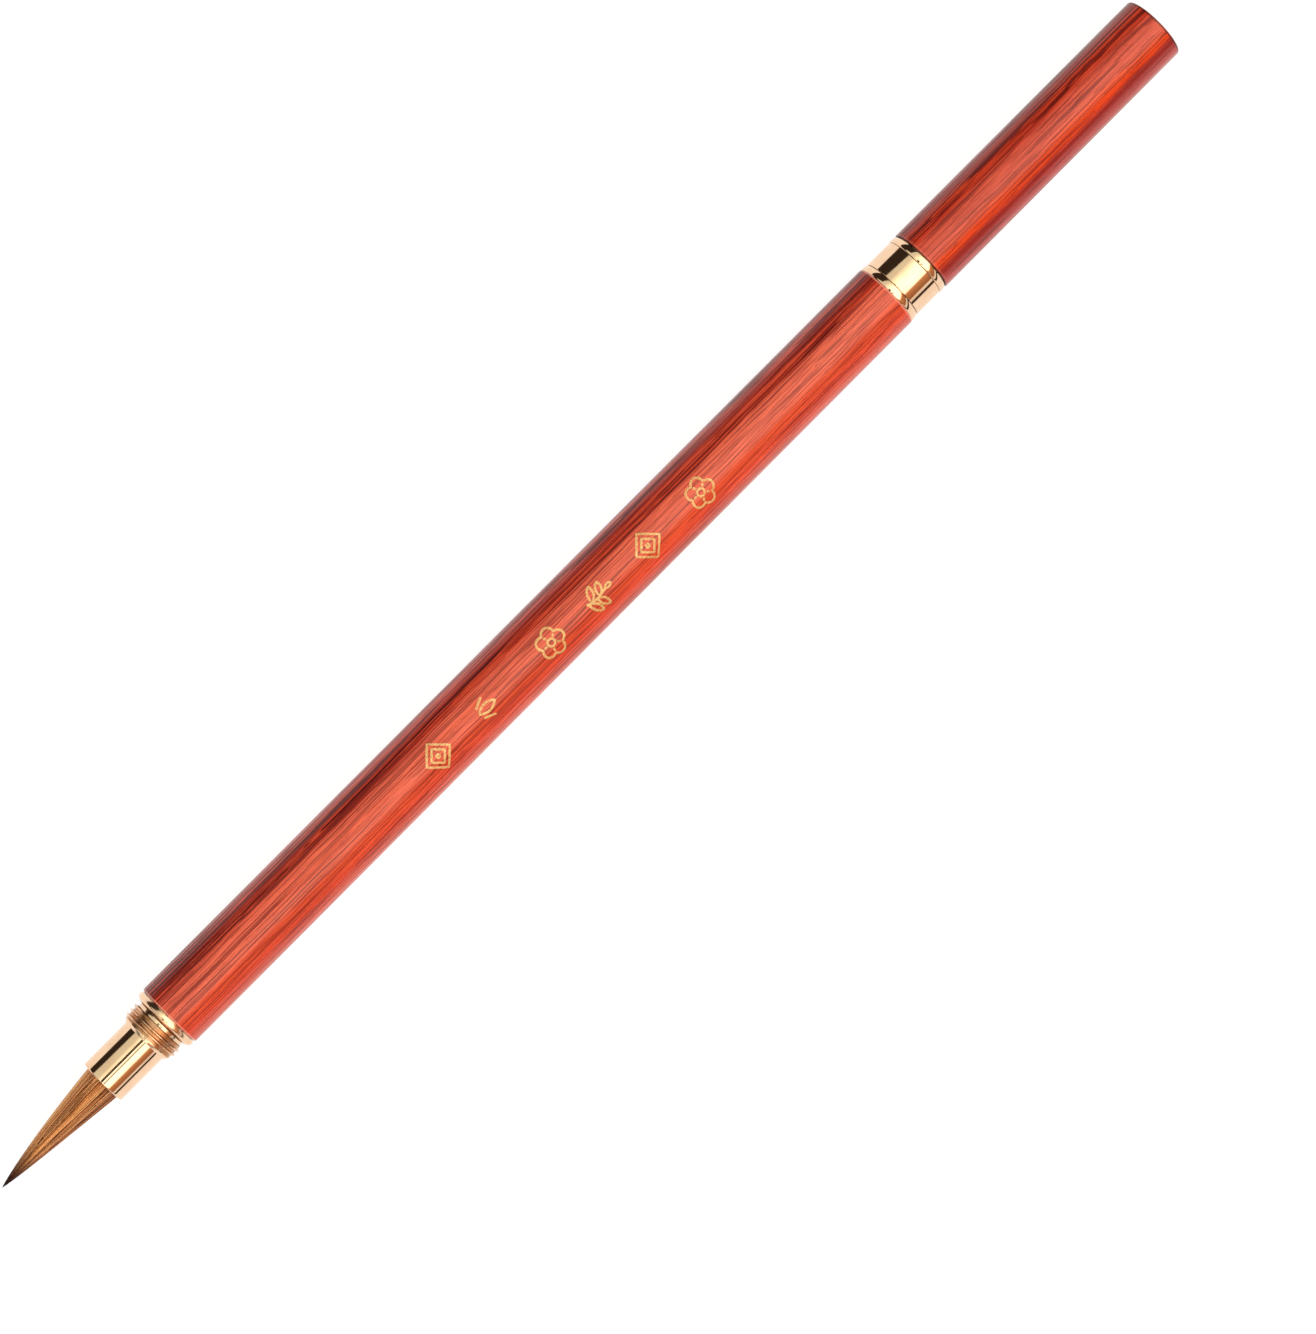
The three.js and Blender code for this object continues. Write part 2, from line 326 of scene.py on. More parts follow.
def scaled(tree, place, along, across):
    """A place counted in features of the given sizes, in metres, along the brush and across it."""
    scale = (1 / along, 1 / across, 1 / across)
    return add(tree, "ShaderNodeVectorMath", {0: place, 1: scale}, operation="MULTIPLY").outputs[0]


def stretched(tree, along, across):
    """The same for the point's own place."""
    return scaled(tree, object_place(tree), along, across)


def cloud(tree, vector, detail=2.0):
    """Soft noise from 0 to 1, with features one unit of the vector wide."""
    values = {"Vector": vector, "Scale": 1.0, "Detail": detail, "Roughness": 0.5}
    return add(tree, "ShaderNodeTexNoise", values).outputs["Fac"]


def between(tree, value, low, high):
    """0 at low and 1 at high, eased between; low above high turns the step round."""
    values = {"Value": value, "From Min": low, "From Max": high}
    return add(tree, "ShaderNodeMapRange", values, interpolation_type="SMOOTHSTEP").outputs[0]


def mixed(tree, share, one, other):
    """One colour with a share of another."""
    made = add(tree, "ShaderNodeMix", data_type="RGBA")
    for socket, value in zip((made.inputs[0], made.inputs[6], made.inputs[7]), (share, one, other)):
        if isinstance(value, bpy.types.NodeSocket):
            tree.links.new(value, socket)
        else:
            socket.default_value = value
    return made.outputs[2]


def maths(tree, operation, *values):
    return add(tree, "ShaderNodeMath", dict(enumerate(values)), operation=operation).outputs[0]


def bumped(tree, height, distance, strength=1.0):
    """A normal for relief of the given depth in metres."""
    values = {"Height": height, "Distance": distance, "Strength": strength}
    return add(tree, "ShaderNodeBump", values).outputs["Normal"]


# ---------------------------------------------------------------- materials

# The width across the brush that a wood's colour bands, which carry painted light, are spread over.
BAND_SPAN = 10 * MM


def wood_material(name, shift, bands, wobble, dark_side, edges):
    """Lacquered red hardwood: broad colour bands by y, and long fine dark lines and pores along x.

    bands are (y, colour) stops, y in mm; they wander by wobble, in metres. The bands carry painted light:
    a pinker middle as painted sheen, pink edges as painted rim reflection and darker bands as painted
    shade, partly also grain. shift moves the grain to another part of the same noise. The lines are
    closer and darker towards +Y, by dark_side: denser grain, with painted shade on the dim side. edges
    are (x, half width, share, colour) of thin painted rims round the piece: dark ones are painted shade
    in seams and at the cap's rounded end, pale ones are painted highlight on eased edges.
    """
    material, tree, shader = new_material(name)
    place = object_place(tree)
    slow = scaled(tree, place, 9 * MM, 5 * MM)
    sway = add(tree, "ShaderNodeTexNoise", {"Vector": slow, "Scale": 1.0, "Detail": 2.0})
    swayed = add(tree, "ShaderNodeVectorMath",
                 {0: sway.outputs["Color"], 1: (0, 1.2 * wobble, 1.2 * wobble), 2: place},
                 operation="MULTIPLY_ADD").outputs[0]
    swayed = add(tree, "ShaderNodeVectorMath", {0: swayed, 1: (shift, shift, 0)}).outputs[0]
    parts = add(tree, "ShaderNodeSeparateXYZ", {0: place})
    # Towards +Y the lines grow closer and darker: denser grain, with painted shade on the side that the
    # light leaves dim.
    side = between(tree, parts.outputs["Y"], 0.6 * MM, 2.4 * MM)
    side = maths(tree, "MULTIPLY", side, dark_side)
    denser = maths(tree, "MULTIPLY", side, 0.045)
    depth = maths(tree, "ADD", maths(tree, "MULTIPLY", side, 0.45), 0.55)

    def grain(along, across, detail=1.0):
        return cloud(tree, scaled(tree, swayed, along, across), detail)

    def dark_lines(along, across, low, high):
        return between(tree, maths(tree, "ADD", grain(along, across), denser), low, high)

    def faded(pattern, share):
        return maths(tree, "MULTIPLY", pattern, share)

    # The colour bands across y paint light: a pinker middle as painted sheen, pink edges as painted rim
    # reflection, darker bands as painted shade.
    wander = maths(tree, "MULTIPLY_ADD", grain(11 * MM, 1.2 * MM, detail=3.0), 2 * wobble,
                   parts.outputs["Y"])
    band = maths(tree, "MULTIPLY_ADD", wander, 1 / BAND_SPAN, 0.5 - wobble / BAND_SPAN)
    ramp = add(tree, "ShaderNodeValToRGB", {"Fac": band})
    stops = ramp.color_ramp.elements
    while len(stops) < len(bands):
        stops.new(0.5)
    for stop, (y, colour) in zip(stops, bands):
        stop.position = 0.5 + y * MM / BAND_SPAN
        stop.color = colour

    veins = between(tree, grain(30 * MM, 1.0 * MM, detail=2.0), 0.46, 0.64)
    threads = between(tree, grain(5 * MM, 0.2 * MM), 0.44, 0.60)
    fine = dark_lines(15 * MM, 0.19 * MM, 0.55, 0.62)
    lines = dark_lines(30 * MM, 0.27 * MM, 0.57, 0.62)
    streaks = dark_lines(44 * MM, 0.42 * MM, 0.64, 0.67)
    pores = between(tree, grain(1.8 * MM, 0.12 * MM), 0.66, 0.74)
    ground = ramp.outputs["Color"]
    for share, colour in (
        (faded(veins, 0.2), tone(150, 28, 12)),
        (faded(threads, 0.34), tone(150, 34, 18)),
        (faded(fine, faded(depth, 0.75)), tone(126, 20, 10)),
        (faded(lines, faded(depth, 0.9)), tone(108, 13, 6)),
        (faded(streaks, depth), tone(84, 6, 3)),
        (faded(pores, 0.5), tone(70, 8, 5)),
    ):
        ground = mixed(tree, share, ground, colour)
    # Thin rims painted over the grain: the dark ones are painted shade, the pale ones painted highlight.
    for x, half_width, edge_share, colour in edges:
        off = maths(tree, "ABSOLUTE", maths(tree, "SUBTRACT", parts.outputs["X"], x))
        rim = between(tree, off, half_width, 0.4 * half_width)
        ground = mixed(tree, faded(rim, edge_share), ground, colour)
    link(tree, ground, shader, "Base Color")
    rough = add(tree, "ShaderNodeMapRange", {"Value": lines, "To Min": 0.31, "To Max": 0.46})
    link(tree, rough.outputs[0], shader, "Roughness")
    relief = maths(tree, "ADD", lines, faded(fine, 0.6))
    link(tree, bumped(tree, faded(relief, -1), 0.01 * MM, 0.7), shader, "Normal")
    shader.inputs["Specular IOR Level"].default_value = 0.24
    shader.inputs["Coat Weight"].default_value = 0.25
    shader.inputs["Coat Roughness"].default_value = 0.1
    return material


def gilt_material(name, roughness, ripple):
    """Polished gilt brass, with faint turning marks round the axis, rougher where worn, and painted shade:
    browner in thread roots and dark in grooves.
    """
    material, tree, shader = new_material(name)
    shader.inputs["Metallic"].default_value = 1.0
    marks = stretched(tree, 0.12 * MM, 1 / 30)
    wander = stretched(tree, 1.5 * MM, 1.5 * MM)
    stain = between(tree, cloud(tree, wander, detail=3.0), 0.35, 0.75)
    colour = mixed(tree, stain, tone(241, 205, 172), tone(236, 196, 162))
    worn = add(tree, "ShaderNodeAttribute", attribute_name="worn").outputs["Fac"]
    # Browner where the worn value is high and dark in the grooves: painted shade in thread roots and
    # grooves.
    painted_groove_shade = between(tree, maths(tree, "ADD", worn, maths(tree, "MULTIPLY", stain, 0.3)), 0.35, 1.25)
    colour = mixed(tree, painted_groove_shade, colour, tone(172, 108, 58))
    colour = mixed(tree, between(tree, worn, 1.1, 1.8), colour, tone(52, 26, 12))
    link(tree, colour, shader, "Base Color")
    polish = add(tree, "ShaderNodeMapRange",
                 {"Value": stain, "To Min": roughness, "To Max": roughness + 0.04}).outputs[0]
    rough = maths(tree, "MULTIPLY_ADD", worn, 0.16, polish)
    link(tree, rough, shader, "Roughness")
    height = maths(tree, "ADD", maths(tree, "MULTIPLY", cloud(tree, marks), 0.15),
                   cloud(tree, wander, detail=1.0))
    link(tree, bumped(tree, height, ripple, 1.0), shader, "Normal")
    return material


def gold_fill_material():
    """Gold paint rubbed into engraving: pale, half metallic and a little worn."""
    material, tree, shader = new_material("gold_fill")
    grain = stretched(tree, 0.18 * MM, 0.18 * MM)
    worn = between(tree, cloud(tree, grain, detail=3.0), 0.35, 0.7)
    link(tree, mixed(tree, worn, tone(230, 190, 130), tone(192, 128, 74)), shader, "Base Color")
    rough = add(tree, "ShaderNodeMapRange", {"Value": worn, "To Min": 0.35, "To Max": 0.6})
    link(tree, rough.outputs[0], shader, "Roughness")
    link(tree, bumped(tree, worn, 0.01 * MM, 0.8), shader, "Normal")
    shader.inputs["Metallic"].default_value = 0.35
    return material


def hair_material(name, pale, middle, dark):
    """Hair strands: each has its own tone, paler towards +Y as painted light, and all darken towards the
    tip.
    """
    material, tree, shader = new_material(name)
    own = add(tree, "ShaderNodeAttribute", attribute_name="strand_tone").outputs["Fac"]
    reach = add(tree, "ShaderNodeAttribute", attribute_name="tip_share").outputs["Fac"]
    light = mixed(tree, between(tree, own, 0.55, 0.95), middle, pale)
    colour = mixed(tree, between(tree, own, 0.48, 0.25), light, dark)
    flecks = between(tree, cloud(tree, stretched(tree, 1.5 * MM, 0.05 * MM)), 0.45, 0.7)
    colour = mixed(tree, maths(tree, "MULTIPLY", flecks, 0.3), colour, dark)
    colour = mixed(tree, between(tree, reach, 0.60, 0.93), colour, tone(64, 22, 12))
    colour = mixed(tree, between(tree, reach, 0.88, 1.0), colour, tone(24, 8, 8))
    link(tree, colour, shader, "Base Color")
    shader.inputs["Roughness"].default_value = 0.42
    shader.inputs["Specular IOR Level"].default_value = 0.5
    return material


def plain_material(name, one, other, size, roughness):
    """A minor material: two close tones in a fine mottle, with a matching relief."""
    material, tree, shader = new_material(name)
    mottle = between(tree, cloud(tree, stretched(tree, size, size), detail=3.0), 0.35, 0.65)
    link(tree, mixed(tree, mottle, one, other), shader, "Base Color")
    link(tree, bumped(tree, mottle, 0.02 * MM, 0.5), shader, "Normal")
    shader.inputs["Roughness"].default_value = roughness
    return material


# ---------------------------------------------------------------- wooden pieces


def make_barrel(material):
    """The turned handle, its edges eased, bored blind at both ends."""
    front_bore = FRONT_TENON_R + GLUE_GAP
    rear_bore = REAR_TENON_R + GLUE_GAP
    outline = softened([
        (BARREL_FRONT + TENON_HOLE, 0),
        (BARREL_FRONT + TENON_HOLE, front_bore),
        (BARREL_FRONT + SEAM, front_bore),
        (BARREL_FRONT + SEAM, BARREL_R, 0.24 * MM),
        (BARREL_REAR, BARREL_R, 0.2 * MM),
        (BARREL_REAR, rear_bore),
        (BARREL_REAR - TENON_HOLE, rear_bore),
        (BARREL_REAR - TENON_HOLE, 0),
    ])
    bm = bmesh.new()
    add_turned(bm, outline)
    finish_mesh("barrel_wood", bm, material, "handle", ["barrel"])


def make_cap_tube(material):
    """The wooden cap: a flat end with an eased edge, bored to take the tuft."""
    counterbore = COLLAR_TENON_R + GLUE_GAP
    counter_end = CAP_FRONT + COLLAR_TENON + 0.2 * MM
    bottom = CAP_MOUTH + CAP_BORE_DEPTH
    outline = softened([
        (bottom, 0),
        (bottom, CAP_BORE),
        (counter_end, CAP_BORE),
        (counter_end, counterbore),
        (CAP_FRONT + 2 * SEAM, counterbore),
        (CAP_FRONT + 2 * SEAM, CAP_R, 0.14 * MM),
        (CAP_END, CAP_R, 0.3 * MM),
        (CAP_END, 0),
    ])
    bm = bmesh.new()
    add_turned(bm, outline)
    finish_mesh("cap_wood", bm, material, "cap", ["cap_tube"])


# ---------------------------------------------------------------- gilt pieces


def make_front_fitting(material):
    """Ferrule socket with a coned nose, threaded spigot, neck, domed flange and glue tenon."""
    socket = FERRULE_R + GLUE_GAP
    flange = NOSE + SPIGOT
    thread_from = NOSE + 0.5 * MM
    thread_to = flange - 0.62 * MM
    undercut = thread_to + 0.05 * MM
    nose = softened([
        (NOSE + SOCKET_DEPTH, 0),
        (NOSE + SOCKET_DEPTH, socket),
        (NOSE + 0.08 * MM, socket),
        (NOSE, socket + 0.1 * MM, 0.06 * MM),
        (NOSE + 0.42 * MM, THREAD_CORE + 0.02 * MM, 0.1 * MM),
        (thread_from, THREAD_CORE),
    ])
    neck = [
        (thread_to, THREAD_CORE),
        (undercut, NECK_R - 0.04 * MM),
        (thread_to + 0.12 * MM, NECK_R),
        (flange - 0.09 * MM, NECK_R),
        (flange, NECK_R - 0.04 * MM),
    ]
    rear_side = [
        (BARREL_FRONT - SEAM, FRONT_TENON_R),
        (BARREL_FRONT + GLUE_TENON, FRONT_TENON_R),
        (BARREL_FRONT + GLUE_TENON, 0),
    ]
    dome = domed(flange, BARREL_FRONT - SEAM, 3.84 * MM, 0.5, FLANGE_R, FLANGE_R - 0.16 * MM)
    bm = bmesh.new()
    bm.verts.layers.float.new("worn")
    add_turned(bm, nose)
    add_thread(bm, (thread_from, thread_to), THREAD_CORE, THREAD_HEIGHT, FRONT_HELIX, FRONT_RIDGE)
    add_turned(bm, neck + dome + rear_side)
    shade_grooves(bm, [undercut, flange])
    finish_mesh("front_fitting_gilt", bm, material, "handle", ["front_fitting"])


def make_rear_fitting(material):
    """Glue tenon, domed ring and the threaded spigot that the posted cap screws on."""
    nose_end = CAP_MOUTH + SPIGOT
    thread_from = CAP_MOUTH + 0.4 * MM
    thread_to = nose_end - 0.45 * MM
    ring_front = BARREL_REAR + CONTACT_GAP
    dome = domed(ring_front, CAP_MOUTH - SEAM, RING_R - 0.08 * MM, 0.2, RING_R, RING_R - 0.18 * MM)
    ring_side = [
        (BARREL_REAR - GLUE_TENON, 0),
        (BARREL_REAR - GLUE_TENON, REAR_TENON_R),
        (ring_front, REAR_TENON_R),
        *dome,
        (CAP_MOUTH - SEAM, NECK_R),
        (thread_from - 0.08 * MM, NECK_R),
        (thread_from, THREAD_CORE),
    ]
    nose = softened([
        (thread_to, THREAD_CORE),
        (nose_end - 0.3 * MM, THREAD_CORE, 0.1 * MM),
        (nose_end, THREAD_CORE - 0.3 * MM, 0.08 * MM),
        (nose_end, 0),
    ])
    bm = bmesh.new()
    bm.verts.layers.float.new("worn")
    add_turned(bm, ring_side)
    add_thread(bm, (thread_from, thread_to), THREAD_CORE, THREAD_HEIGHT, REAR_HELIX, REAR_RIDGE)
    add_turned(bm, nose)
    finish_mesh("rear_fitting_gilt", bm, material, "handle", ["rear_fitting"])


def make_ferrule(material):
    """The thin gilt tube that holds the hair, its mouth rolled over."""
    end = rear("ferrule")
    outline = softened([
        (MOUTH + 0.5 * MM, FERRULE_BORE),
        (MOUTH, FERRULE_BORE + 0.02 * MM, 0.22 * MM),
        (MOUTH, FERRULE_R, 0.26 * MM),
        (end, FERRULE_R, 0.1 * MM),
        (end, FERRULE_BORE),
    ], steps=8)
    bm = bmesh.new()
    add_turned(bm, outline, closed=True)
    finish_mesh("ferrule_gilt", bm, material, "handle", ["ferrule"])


def make_cap_collar(material):
    """The cap's gilt mouth: plain band, domed ring, female thread and glue tenon."""
    bore = 3.35 * MM
    relief = CAP_MOUTH + 2.7 * MM
    shoulder = CAP_MOUTH + 3.6 * MM
    ring = CAP_FRONT - COLLAR_RING_WIDTH
    tenon_end = CAP_FRONT + COLLAR_TENON
    thread_from = CAP_MOUTH + 0.2 * MM
    nut_root = NUT_BORE + NUT_DEPTH + 0.02 * MM
    mouth = softened([
        (thread_from, NUT_BORE),
        (CAP_MOUTH + SEAM, NUT_BORE + 0.2 * MM, 0.03 * MM),
        (CAP_MOUTH + SEAM, COLLAR_R, 0.06 * MM),
        (ring - 0.05 * MM, COLLAR_R - 0.01 * MM),
        (ring, COLLAR_R - 0.08 * MM),
    ])
    dome = domed(ring + 0.05 * MM, CAP_FRONT - SEAM, COLLAR_R, 0.25, COLLAR_RING_R,
                 COLLAR_RING_R - 0.16 * MM)
    inside = [
        (CAP_FRONT - SEAM, COLLAR_TENON_R),
        (tenon_end, COLLAR_TENON_R),
        (tenon_end, bore),
        (shoulder, bore),
        (shoulder, nut_root),
        (relief, nut_root),
        (relief, NUT_BORE),
    ]
    bm = bmesh.new()
    bm.verts.layers.float.new("worn")
    add_turned(bm, mouth + dome + inside)
    shade_grooves(bm, [ring])
    add_thread(bm, (thread_from, relief), NUT_BORE, NUT_DEPTH, REAR_HELIX - 2 * PITCH, NUT_RIDGE,
               crest=0.2, base=0.8)
    finish_mesh("cap_collar_gilt", bm, material, "cap", ["cap_collar"])


def make_cap_liner(material):
    """The thin plastic cup inside the cap."""
    outer = radius("cap_liner")
    inner = outer - LINER_WALL
    start, end = front("cap_liner"), rear("cap_liner")
    outline = softened([
        (end - 0.4 * MM, 0),
        (end - 0.4 * MM, inner, 0.8 * MM),
        (start, inner, 0.05 * MM),
        (start, outer, 0.05 * MM),
        (end, outer, 1.0 * MM),
        (end, 0),
    ])
    bm = bmesh.new()
    add_turned(bm, outline)
    finish_mesh("cap_liner_cup", bm, material, "sleeve", ["cap_liner"])


# ---------------------------------------------------------------- hair

# How far the strands start inside the ferrule, and how far the tip leans aside.
ROOT_DEPTH = 2.3 * MM
TIP_LEAN = 0.38 * MM
CLUMPS = 46
STRAND_STEPS = 13

# The share of the tuft's length at each ring of its heart, from the tip to inside the ferrule.
HEART_STATIONS = (
    0.004, 0.02, 0.05, 0.09, 0.14, 0.2, 0.28, 0.37, 0.47, 0.58, 0.7, 0.82, 0.93, 1.0, 1.12,
)
HEART_SIDES = 96


def tuft_radius(share):
    """The tuft's radius where share of its length lies between there and the tip."""
    return TUFT_R * max(share, 0) ** 0.77


def hair_point(share, angle, depth):
    """A point in the tuft.

    share is 0 at the tip and 1 at the mouth, and depth is 0 on the axis and 1 at the skin.
    """
    r = tuft_radius(min(share, 1)) * depth
    lean = TIP_LEAN * (1 - min(share, 1)) ** 2.2
    x = TIP + share * TUFT_LENGTH
    return Vector((x, r * math.cos(angle) - lean, AXIS_Z + r * math.sin(angle)))


def add_strand(bm, path, widths, side_lit_tone, shares, layers):
    """One hair: a thin four-sided tube along a path, closed at both ends.

    layers are the two that hold a strand's tone, with its painted side light, and how near the tip a vertex
    is.
    """
    tone_layer, share_layer = layers
    rings = []
    for i, here in enumerate(path):
        ahead = (path[min(i + 1, len(path) - 1)] - path[max(i - 1, 0)]).normalized()
        side = ahead.cross(Vector((0, 0, 1))).normalized()
        up = side.cross(ahead)
        ring = []
        for k in range(4):
            turn = math.pi / 2 * k
            corner = here + (side * math.cos(turn) + up * math.sin(turn)) * widths[i] / 2
            vert = bm.verts.new(corner)
            vert[tone_layer] = side_lit_tone
            vert[share_layer] = 1 - shares[i]
            ring.append(vert)
        rings.append(ring)
    for one, other in zip(rings, rings[1:]):
        for k in range(4):
            bm.faces.new((one[k], one[(k + 1) % 4], other[(k + 1) % 4], other[k]))
    bm.faces.new(rings[0][::-1])
    bm.faces.new(rings[-1])


def bend_with_tuft(piece):
    """The hair bends in one curve from the ferrule's mouth to past its tip."""
    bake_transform(piece, "handle", "tuft", start=(MOUTH + 0.4 * MM, 0, AXIS_Z),
             end=(TIP - 0.2 * TUFT_LENGTH, 0, AXIS_Z))


def make_strands(name, count, depths, reach, thickness, seed, material, replaced):
    """A bundle of strands from inside the ferrule towards the tip, gathered into slight clumps.

    depths are their nearest to the axis and to the skin, and reach is how near the tip they end.
    """
    draw = random.Random(seed)
    bm = bmesh.new()
    layers = (bm.verts.layers.float.new("strand_tone"), bm.verts.layers.float.new("tip_share"))
    root = 1 + ROOT_DEPTH / TUFT_LENGTH
    for _ in range(count):
        angle = draw.uniform(0, 2 * math.pi)
        clump = (math.floor(angle / (2 * math.pi) * CLUMPS) + 0.5) / CLUMPS * 2 * math.pi
        depth = depths[0] + (depths[1] - depths[0]) * draw.random() ** 0.5
        end = draw.uniform(*reach) ** 1.5
        # A random tone, paler towards +Y by the cosine: painted light on the side that the studio leaves
        # dim.
        side_lit_tone = 0.9 * draw.random() + 0.06 + 0.13 * math.cos(angle)
        gather = draw.uniform(0.1, 0.6)
        sway = draw.uniform(-0.05, 0.05)
        width = thickness * draw.uniform(0.75, 1.2)
        path, widths, shares = [], [], []
        for step in range(STRAND_STEPS):
            gone = step / (STRAND_STEPS - 1)
            share = root - (root - end) * gone
            pull = gather * min(max((1 - share) * 2.5, 0), 1)
            here = angle + (clump - angle) * pull + sway * math.sin(share * 7 + angle * 3)
            path.append(hair_point(share, here, depth))
            widths.append(width * (1 - gone ** 3 * 0.85) * min(1, 0.35 + share * 1.6))
            shares.append(min(max(share, 0), 1))
        add_strand(bm, path, widths, side_lit_tone, shares, layers)
    mesh_piece = finish_mesh(name, bm, material, None, sharp=80)
    bend_with_tuft(mesh_piece)
    if replaced:
        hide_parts(replaced)


def make_hair_heart(material):
    """The dark mass of hair under the strands, grooved between the clumps."""
    bm = bmesh.new()
    tone_layer = bm.verts.layers.float.new("strand_tone")
    share_layer = bm.verts.layers.float.new("tip_share")
    rows = []
    for share in HEART_STATIONS:
        row = []
        for j in range(HEART_SIDES):
            angle = 2 * math.pi * j / HEART_SIDES
            groove = 0.02 * math.sin(angle * CLUMPS / 2)
            vert = bm.verts.new(hair_point(share, angle, 0.86 + groove))
            vert[tone_layer] = 0.2
            vert[share_layer] = 1 - min(share, 1)
            row.append(vert)
        rows.append(row)
    for one, other in zip(rows, rows[1:]):
        for j in range(HEART_SIDES):
            k = (j + 1) % HEART_SIDES
            bm.faces.new((one[j], one[k], other[k], other[j]))
    bm.faces.new(rows[0][::-1])
    bm.faces.new(rows[-1])
    piece = finish_mesh("hair_heart", bm, material, None, sharp=80)
    bend_with_tuft(piece)
    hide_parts("core_hair")


# ---------------------------------------------------------------- gold ornaments on the barrel

# The row's turn from the barrel's top, the width of its lines and how far they stand proud.
ORNAMENT_ANGLE = math.radians(13)
ORNAMENT_WIDTH = 0.3 * MM
ORNAMENT_LIFT = 0.012 * MM

# Where the first ornament is, from the barrel's front, and each one's distance from it, in mm.
FIRST_ORNAMENT = 45.6
ORNAMENT_PLACES = (0, 8.35, 19.6, 27.85, 36.4, 45.65)


def curve_points(function, count):
    """Points along a curve given as a function of 0 to 1."""
    return [function(i / count) for i in range(count + 1)]


def circle(r, count):
    """A circle as one closed stroke."""
    def edge(t):
        return (r * math.cos(2 * math.pi * t), r * math.sin(2 * math.pi * t))

    return curve_points(edge, count)


def blossom():
    """Five petals round a ring."""
    def petals(t):
        turn = 2 * math.pi * t
        r = 1.42 + 0.52 * abs(math.cos(2.5 * turn))
        return (r * math.cos(turn), r * math.sin(turn))

    strokes = [curve_points(petals, 80), circle(0.5, 20)]
    for petal in range(5):
        turn = 2 * math.pi * (petal + 0.5) / 5
        strokes.append([(r * math.cos(turn), r * math.sin(turn)) for r in (0.75, 0.95, 1.15)])
    return strokes


def leaf(root_u, root_v, direction, length, width):
    """A leaf's outline from its root, as one closed stroke."""
    def edge(t):
        side = 1 if t < 0.5 else -1
        along = 2 * t if t < 0.5 else 2 - 2 * t
        out = side * width * math.sin(math.pi * along) ** 0.8 / 2
        u = along * length
        return (root_u + u * math.cos(direction) - out * math.sin(direction),
                root_v + u * math.sin(direction) + out * math.cos(direction))
    return curve_points(edge, 28)


def sprig():
    """A bowed stem with paired leaves."""
    def stem(t):
        return (-2.0 + 3.2 * t, 0.3 * math.sin(math.pi * t) - 0.1)

    strokes = [curve_points(stem, 24)]
    for share, side in ((0.1, 1), (0.25, -1), (0.5, 1), (0.65, -1)):
        u, v = stem(share)
        strokes.append(leaf(u, v, side * math.radians(62), 2.2 - share * 0.7, 0.8))
    strokes.append(leaf(*stem(1.0), 0.0, 0.9, 0.5))
    return strokes


def lozenge():
    """Two nested diamonds round a dot."""
    def diamond(half_u, half_v):
        corners = [(half_u, 0), (0, half_v), (-half_u, 0), (0, -half_v), (half_u, 0)]
        points = []
        for (u0, v0), (u1, v1) in zip(corners, corners[1:]):
            points += [(u0 + (u1 - u0) * s / 8, v0 + (v1 - v0) * s / 8) for s in range(8)]
        return points + [corners[0]]

    return [diamond(2.0, 2.05), diamond(1.15, 1.2), circle(0.22, 12)]


def bud():
    """A small pointed bud between two short strokes that spread."""
    strokes = [leaf(-1.2, 0.0, 0.0, 2.6, 1.1)]
    for side in (1, -1):
        strokes.append([(-1.1 + 1.5 * t, side * (0.75 + 0.7 * t)) for t in (0, 0.25, 0.5, 0.75, 1)])
    return strokes


def add_stroke(bm, stroke, centre_x, draw):
    """One thin line of gold laid on the barrel: a low domed ribbon whose foot is in the wood."""
    profile = [(-0.5, -0.02), (-0.32, 1.0), (0, 1.15), (0.32, 1.0), (0.5, -0.02), (0, -2.0)]
    closed = (Vector(stroke[0]) - Vector(stroke[-1])).length < 1e-6
    points = [Vector(p) for p in (stroke[:-1] if closed else stroke)]
    count = len(points)
    rings = []
    for i, here in enumerate(points):
        ahead = points[(i + 1) % count] if closed or i + 1 < count else here
        behind = points[i - 1] if closed or i > 0 else here
        along = (ahead - behind).normalized()
        across = Vector((-along.y, along.x))
        width = ORNAMENT_WIDTH * (1 + 0.12 * draw.uniform(-1, 1))
        ring = []
        for out, lift in profile:
            spot = here * MM + across * out * width
            angle = math.pi / 2 + ORNAMENT_ANGLE + spot.y / BARREL_R
            r = BARREL_R + lift * ORNAMENT_LIFT
            ring.append(bm.verts.new(on_ring(centre_x + spot.x, r, angle)))
        rings.append(ring)
    sides = len(profile)
    pairs = list(zip(rings, rings[1:])) + ([(rings[-1], rings[0])] if closed else [])
    for one, other in pairs:
        for k in range(sides):
            bm.faces.new((one[k], one[(k + 1) % sides], other[(k + 1) % sides], other[k]))
    if not closed:
        bm.faces.new(rings[0][::-1])
        bm.faces.new(rings[-1])


def make_ornaments(material):
    """Six small gold ornaments in a row: four close together, a gap, then two."""
    first = BARREL_FRONT + FIRST_ORNAMENT * MM
    motifs = [lozenge, bud, blossom, sprig, lozenge, blossom]
    draw = random.Random(5)
    for number, (place, motif) in enumerate(zip(ORNAMENT_PLACES, motifs), 1):
        bm = bmesh.new()
        for stroke in motif():
            add_stroke(bm, stroke, first + place * MM, draw)
        finish_mesh(f"gold_ornament_{number}", bm, material, "handle", sharp=60)


# ---------------------------------------------------------------- studio

